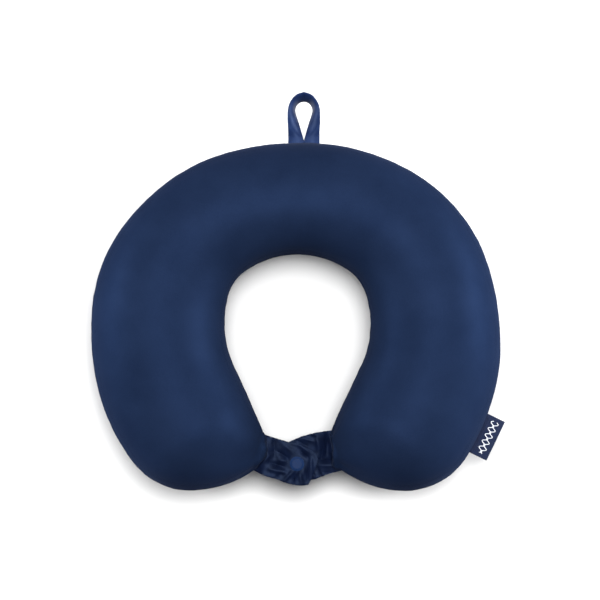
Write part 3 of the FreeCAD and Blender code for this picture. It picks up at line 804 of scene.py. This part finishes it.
def make_loop():
    """A satin tape from the seam round the eye and back, its legs twisting as they meet."""
    count, across = LOOP_GRID
    outer, inner = spline_points(LOOP_OUTER, count), spline_points(LOOP_INNER, count)
    mirror = np.array([-1.0, 1.0])
    shift = np.array([2 * LOOP_X * MM, 0.0])
    outer = np.concatenate([outer, (outer * mirror + shift)[-2::-1]])
    inner = np.concatenate([inner, (inner * mirror + shift)[-2::-1]])
    vertices = []
    total = len(outer)
    for i, (o, n) in enumerate(zip(outer, inner)):
        seen = float(np.linalg.norm(o - n))
        rise = math.sqrt(max(LOOP_WIDTH ** 2 - seen ** 2, 0.0))
        rise *= smooth((min(o[1], n[1]) - 111 * MM) / (8 * MM))
        bow = 1.2 * MM * math.sin(math.pi * i / (total - 1))
        for j in range(across):
            share = j / (across - 1)
            plan = n + (o - n) * share
            curl = 0.9 * MM * math.sin(math.pi * share)
            lie = noise.noise(Vector((plan[0], plan[1], 0)) * 130) * 0.45 * MM
            seam_edge = -0.25 * MM * (bump(share, 0.1, 0.035) + bump(share, 0.9, 0.035))
            height = SEAM + (share - 0.5) * rise + curl + lie + seam_edge + bow
            vertices.append((plan[0], plan[1], height))
    piece = new_mesh("loop_ribbon", vertices, grid_faces(total, across), LOOP_SATIN)
    face_upwards(piece)
    thicken(piece, LOOP_THICKNESS, 0.0, 0.3 * MM)
    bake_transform(piece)
    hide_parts("hang_loop")


# ------------------------------------------------------------------ threads

STITCH_SIDES = 6
# Cross-sections of a stitch: share of its length, girth, and height above its line, in radii.
STITCH_RINGS = [(0.0, 0.35, -0.6), (0.12, 0.8, 0.0), (0.35, 1.0, 0.35), (0.65, 1.0, 0.35),
                (0.88, 0.8, 0.0), (1.0, 0.35, -0.6)]


def ring_of(centre, side, up, radius, sides):
    """Vertices of a round cross-section."""
    turns = [2 * math.pi * k / sides for k in range(sides)]
    return [centre + (side * math.cos(turn) + up * math.sin(turn)) * radius for turn in turns]


def capped_faces(rings, sides):
    """Faces of a row of round cross-sections, closed at both ends."""
    count = rings * sides
    ends = [tuple(range(sides - 1, -1, -1)), tuple(range(count - sides, count))]
    return grid_faces(rings, sides, closed=True) + ends


def stitches(name, runs, radius, material):
    """One mesh of stitches, each a (start, end, outward direction), dipping in at both ends."""
    vertices, faces = [], []
    loops = capped_faces(len(STITCH_RINGS), STITCH_SIDES)
    for start, end, out in runs:
        start, end, out = Vector(start), Vector(end), Vector(out)
        side = (end - start).normalized().cross(out).normalized()
        faces += [tuple(i + len(vertices) for i in loop) for loop in loops]
        for share, girth, lift in STITCH_RINGS:
            centre = start + (end - start) * share + out * radius * lift
            vertices += ring_of(centre, side, out, radius * girth, STITCH_SIDES)
    return new_mesh(name, vertices, faces, material)


def tube(name, path, radius, material, sides):
    """Round thread along an open path of vectors."""
    vertices = []
    for i, point in enumerate(path):
        axis = (path[min(i + 1, len(path) - 1)] - path[max(i - 1, 0)]).normalized()
        side = axis.cross(Vector((0, 0, 1))).normalized()
        vertices += ring_of(point, side, side.cross(axis), radius, sides)
    return new_mesh(name, vertices, capped_faces(len(path), sides), material)


# ------------------------------------------------------------------ woven label

LABEL_CORNER = Vector((128.0, -119.2, 50.0)) * MM
LABEL_LONG = (Vector((141.8, -90.7, 50.0)) * MM - LABEL_CORNER)
LABEL_OUT = Vector((LABEL_LONG.y, -LABEL_LONG.x, 0)).normalized()
LABEL_WIDTH = 12.9 * MM         # seen outside the seam
LABEL_REACH = 13 * MM           # over which the tag droops and ripples
LABEL_TUCK = 4 * MM             # held inside it
LABEL_THICKNESS = 0.7 * MM
LABEL_GRID = (61, 25)           # points along the seam and out from it
WAVE_ROWS = (5.2 * MM, 7.6 * MM)
WAVE_MARGIN = 3.2 * MM          # from the waves' ends to the tag's
WAVE_SWING = 1.7 * MM
WAVE_STEPS = 150
WAVES = 5
BORDER_ROWS = (1.6 * MM, 11.3 * MM)
BORDER_MARGIN = 1.6 * MM
BORDER_STITCHES = 27


def label_point(along, out, lift=0.0):
    """A point of the tag, by distance along the seam, out from it, and above its middle."""
    share = out / LABEL_REACH
    droop = -0.9 * MM * share ** 2 + 0.5 * MM * math.sin(along * 130) * share
    flat = LABEL_CORNER + LABEL_LONG.normalized() * along + LABEL_OUT * out
    return flat + Vector((0, 0, droop + lift))


def make_motif(face):
    """Two plain woven waves and a stitched border, on the tag's upper face."""
    length = LABEL_LONG.length
    motif = []
    for k, middle in enumerate(WAVE_ROWS):
        path = []
        for i in range(WAVE_STEPS + 1):
            share = i / WAVE_STEPS
            along = WAVE_MARGIN + (length - 2 * WAVE_MARGIN) * share
            wave = WAVE_SWING * math.sin(2 * math.pi * (share * WAVES + 0.5 * k))
            path.append(label_point(along, middle + wave, face + 0.1 * MM))
        motif.append(tube(f"label_wave_{k + 1}", path, 0.28 * MM, WHITE_THREAD, 6))
    for k, out in enumerate(BORDER_ROWS):
        runs = []
        for i in range(BORDER_STITCHES):
            begin = BORDER_MARGIN + (length - 2 * BORDER_MARGIN) * i / BORDER_STITCHES
            end = begin + 0.85 * MM
            runs.append((label_point(begin, out, face), label_point(end, out, face), (0, 0, 1)))
        motif.append(stitches(f"label_border_{k + 1}", runs, 0.13 * MM, THREAD))
    return motif


def make_label():
    """The folded tag sewn into the right lobe's seam."""
    rows, columns = LABEL_GRID
    vertices = []
    for i in range(rows):
        for j in range(columns):
            out = -LABEL_TUCK + (LABEL_WIDTH + LABEL_TUCK) * j / (columns - 1)
            vertices.append(label_point(LABEL_LONG.length * i / (rows - 1), out))
    tag = new_mesh("label_tag", vertices, grid_faces(rows, columns), LABEL)
    face_upwards(tag)
    thicken(tag, LABEL_THICKNESS, 0.0, 0.2 * MM)
    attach(tag, "pillow")
    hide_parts("woven_label")
    motif = make_motif(LABEL_THICKNESS / 2)
    for piece in motif:
        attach(piece, "pillow")


# ------------------------------------------------------------------ zip

COIL_PITCH = 1.3 * MM
COIL_STEPS = 10                 # points for each tooth
COIL_OUT = -1.35 * MM           # middle of the winding, out from the zip's face
COIL_UP = 1.25 * MM             # and up from the middle of the chain
COIL_RADII = (0.62 * MM, 1.15 * MM)
STITCH_PITCH = 2.8 * MM
STITCH_SHARE = 0.72             # of the pitch that shows as thread
TOPSTITCH_OUT = -0.2 * MM
TOPSTITCH_UP = 7.2 * MM


def zip_axes(turn):
    """Directions at a turn about the nape's axis: level, out of the zip's face, and up along it."""
    radial = Vector((math.sin(turn), math.cos(turn), 0))
    out = radial * math.cos(ZIP_TILT) - Vector((0, 0, math.sin(ZIP_TILT)))
    up = radial * math.sin(ZIP_TILT) + Vector((0, 0, math.cos(ZIP_TILT)))
    return radial, out, up


def zip_point(turn, out, up):
    """A point of the zip's local frame, turned about the nape's axis."""
    radial, out_axis, up_axis = zip_axes(turn)
    return ZIP_CENTRE + radial * ZIP_RADIUS + out_axis * out + up_axis * up


def make_coil(name, side, node):
    """Nylon filament wound into teeth that reach over the middle of the chain."""
    teeth = int(2 * TEETH_TURN * ZIP_RADIUS / COIL_PITCH)
    steps = teeth * COIL_STEPS
    out_radius, up_radius = COIL_RADII
    path = []
    for i in range(steps + 1):
        phase = 2 * math.pi * i / COIL_STEPS + (math.pi if side < 0 else 0)
        turn = -TEETH_TURN + 2 * TEETH_TURN * i / steps
        out = COIL_OUT + out_radius * math.sin(phase)
        up = side * (COIL_UP + up_radius * math.cos(phase))
        path.append(zip_point(turn, out, up))
    piece = tube(name, path, 0.27 * MM, COIL, 6)
    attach(piece, "pillow")
    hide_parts(node)


def make_topstitch(name, up):
    """A row of stitches along one edge of the slot."""
    runs = []
    pitch = STITCH_PITCH / ZIP_RADIUS
    for i in range(int(2 * TOPSTITCH_TURN / pitch)):
        turn = -TOPSTITCH_TURN + pitch * i
        end = turn + pitch * STITCH_SHARE
        out = zip_axes(turn)[1]
        runs.append((zip_point(turn, TOPSTITCH_OUT, up), zip_point(end, TOPSTITCH_OUT, up), out))
    piece = stitches(name, runs, 0.26 * MM, THREAD)
    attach(piece, "pillow")


def make_zip():
    """The zip's teeth and the stitching along its slot; tapes, slider and stops are the CAD's."""
    make_coil("zip_teeth_upper", 1, "zip_coil_upper")
    make_coil("zip_teeth_lower", -1, "zip_coil_lower")
    make_topstitch("zip_topstitch_upper", TOPSTITCH_UP)
    make_topstitch("zip_topstitch_lower", -TOPSTITCH_UP)


def finish_cad_nodes():
    """Procedural materials for the CAD nodes whose shape stays."""
    materials = {
        "zip_tape_upper": ZIP_TAPE, "zip_tape_lower": ZIP_TAPE,
        "zip_slider": PAINTED, "zip_pull": PAINTED,
        "zip_top_stops": PAINTED, "zip_bottom_stop": PAINTED,
        "snap_cap_upper": SNAP, "snap_cap_lower": SNAP,
        "snap_socket": SNAP, "snap_stud": SNAP, "loop_bartack": THREAD,
    }
    for node, material in materials.items():
        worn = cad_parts[node].data.materials
        worn.clear()
        worn.append(material)


# ------------------------------------------------------------------ camera, lights and floor

FLOOR_HALF = 3.0
FLOOR_GREY = 0.66
WORLD_STRENGTH = 0.12
# Disk lights in metres and watts: name, place, what it points at, diameter, power.
LIGHTS = [
    ("overhead", (0.06, 0.20, 1.7), (0, -0.02, 0), 0.7, 46),
    ("left_box", (-1.25, 0.22, 0.42), (0, 0, 0.05), 0.8, 30),
    ("right_box", (1.25, 0.26, 0.42), (0, 0, 0.05), 0.8, 42),
]
VIEW_WIDTH = 442.2 * MM         # seen at the height of the seam
VIEW_DISTANCE = 2.6             # of the camera above the seam
VIEW_CENTRE = (2.2 * MM, -6.4 * MM)
SENSOR_WIDTH = 36.0


def make_light(name, spot, target, size, power):
    """A disk light turned towards its target."""
    light = bpy.data.lights.new(name, "AREA")
    light.shape = "DISK"
    light.size = size
    light.energy = power
    lamp = bpy.data.objects.new(name, light)
    lamp.location = spot
    lamp.rotation_euler = (Vector(target) - Vector(spot)).to_track_quat("-Z", "Y").to_euler()
    bpy.context.scene.collection.objects.link(lamp)


def make_studio():
    """A pale floor, soft lights, and a camera that looks straight down."""
    world = bpy.data.worlds.new("studio")
    bpy.context.scene.world = world
    world.use_nodes = True
    background = world.node_tree.nodes["Background"]
    background.inputs["Color"].default_value = (1, 1, 1, 1)
    background.inputs["Strength"].default_value = WORLD_STRENGTH
    bpy.context.scene.view_settings.view_transform = "Standard"

    material, _, shader = new_material("floor")
    shader.inputs["Base Color"].default_value = (FLOOR_GREY, FLOOR_GREY, FLOOR_GREY, 1)
    shader.inputs["Roughness"].default_value = 0.9
    shader.inputs["Specular IOR Level"].default_value = 0.0
    half = FLOOR_HALF
    corners = [(-half, -half, 0), (half, -half, 0), (half, half, 0), (-half, half, 0)]
    floor = new_mesh("floor", corners, [(0, 1, 2, 3)], material, False)

    for light in LIGHTS:
        make_light(*light)

    camera = bpy.data.cameras.new("camera")
    camera.sensor_width = SENSOR_WIDTH
    camera.lens = SENSOR_WIDTH * VIEW_DISTANCE / VIEW_WIDTH
    camera.clip_end = 20
    view = bpy.data.objects.new("camera", camera)
    view.location = (*VIEW_CENTRE, SEAM + VIEW_DISTANCE)
    bpy.context.scene.collection.objects.link(view)
    bpy.context.scene.camera = view


# ------------------------------------------------------------------ build

make_studio()
make_cover()
make_tab(-1, LEFT_EDGES, LEFT_FOLDS, LEFT_TAB_HEIGHT, "snap_tab_left")
make_tab(1, RIGHT_EDGES, RIGHT_FOLDS, RIGHT_TAB_HEIGHT, "snap_tab_right")
make_loop()
make_label()
make_zip()
finish_cad_nodes()
